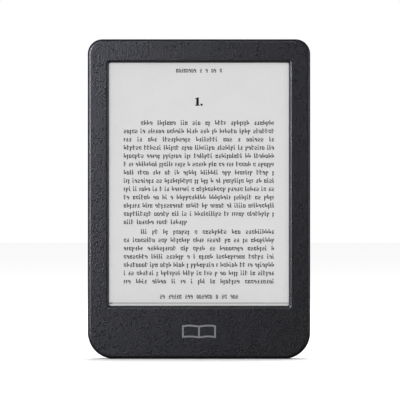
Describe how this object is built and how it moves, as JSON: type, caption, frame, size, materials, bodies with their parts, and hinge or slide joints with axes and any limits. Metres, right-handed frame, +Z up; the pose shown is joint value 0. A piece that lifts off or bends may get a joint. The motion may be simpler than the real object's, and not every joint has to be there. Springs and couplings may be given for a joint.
{
  "type": "e-reader",
  "caption": "Slim hand-held electronic reader with a matt charcoal housing, a recessed paper-like screen and a sprung power button on its back.",
  "frame": {"origin": "middle of the lower edge, halfway through the thickness; the reader stands upright on that edge", "axes": "+Z up along the height, -Y out of the screen, +Y out of the flat back, +X to the right of a person who reads it"},
  "size_m": [0.1118, 0.0092, 0.1606],
  "materials": {
    "bezel_plastic": "fine matt speckle, charcoal",
    "cover_plastic": "matt, fine moulded grain, charcoal",
    "button_plastic": "smooth satin, charcoal",
    "screen_film": "anti-glare etched, paper grey",
    "guide_acrylic": "clear polished",
    "panel_glass": "opaque electronic paper on glass",
    "gasket_foam": "closed-cell foam",
    "chassis_metal": "stamped light alloy, satin",
    "board_laminate": "solder-masked laminate",
    "chip_resin": "moulded chip resin",
    "shield_steel": "tin-plated steel",
    "socket_steel": "drawn stainless shell",
    "connector_plastic": "ivory moulded",
    "ribbon_film": "amber film",
    "pouch_foil": "laminated foil",
    "adhesive_tape": "double-sided tape",
    "lead_red": "insulated wire",
    "lead_black": "insulated wire",
    "antenna_copper": "etched copper foil",
    "plug_gold": "gold-plated",
    "lamp_strip": "white strip with small lamps",
    "clear_lens": "clear moulded",
    "screw_steel": "zinc-plated"
  },
  "bodies": {
    "root": {"antenna": "antenna_copper", "antenna_coax": "lead_black", "battery_board": "board_laminate", "battery_lead_minus": "lead_black", "battery_lead_plus": "lead_red", "battery_plug": "chip_resin", "battery_pouch": "pouch_foil", "battery_socket": "connector_plastic", "battery_tape_left": "adhesive_tape", "battery_tape_right": "adhesive_tape", "board_screw_1": "screw_steel", "board_screw_2": "screw_steel", "board_screw_3": "screw_steel", "board_screw_4": "screw_steel", "board_screw_5": "screw_steel", "board_screw_6": "screw_steel", "button_board": "board_laminate", "button_connector": "connector_plastic", "button_ribbon": "ribbon_film", "button_screw_1": "screw_steel", "button_screw_2": "screw_steel", "coax_plug": "plug_gold", "crystal": "shield_steel", "display_connector": "connector_plastic", "display_driver": "chip_resin", "display_ribbon": "ribbon_film", "e_paper_panel": "panel_glass", "frame_screw_1": "screw_steel", "frame_screw_2": "screw_steel", "frame_screw_3": "screw_steel", "frame_screw_4": "screw_steel", "front_bezel": "bezel_plastic", "hall_sensor": "chip_resin", "light_connector": "connector_plastic", "light_guide": "guide_acrylic", "light_ribbon": "ribbon_film", "light_strip": "lamp_strip", "main_board": "board_laminate", "memory_chip": "chip_resin", "mid_frame": "chassis_metal", "power_chip": "chip_resin", "power_inductor": "chip_resin", "processor": "chip_resin", "rear_cover": "cover_plastic", "screen_gasket": "gasket_foam", "shield_can": "shield_steel", "status_led": "clear_lens", "status_light_pipe": "clear_lens", "storage_chip": "chip_resin", "switch_body": "shield_steel", "touch_connector": "connector_plastic", "touch_film": "screen_film", "touch_ribbon": "ribbon_film", "usb_c_shell": "socket_steel", "usb_c_tongue": "chip_resin", "wireless_module": "shield_steel"},
    "power_button": {"power_button": "button_plastic"},
    "switch_plunger": {"switch_plunger": "chip_resin"}
  },
  "joints": [
    {"name": "power_button_press", "type": "slide", "parent": "root", "child": "power_button", "axis": [0, -1, 0], "range_m": [0, 0.0003], "stiffness_N_per_m": 4000},
    {"name": "switch_plunger_press", "type": "slide", "parent": "root", "child": "switch_plunger", "axis": [0, -1, 0], "range_m": [0, 0.0003]}
  ],
  "couplings": [
    {"joint": "switch_plunger_press", "follows": "power_button_press", "ratio": 1}
  ]
}
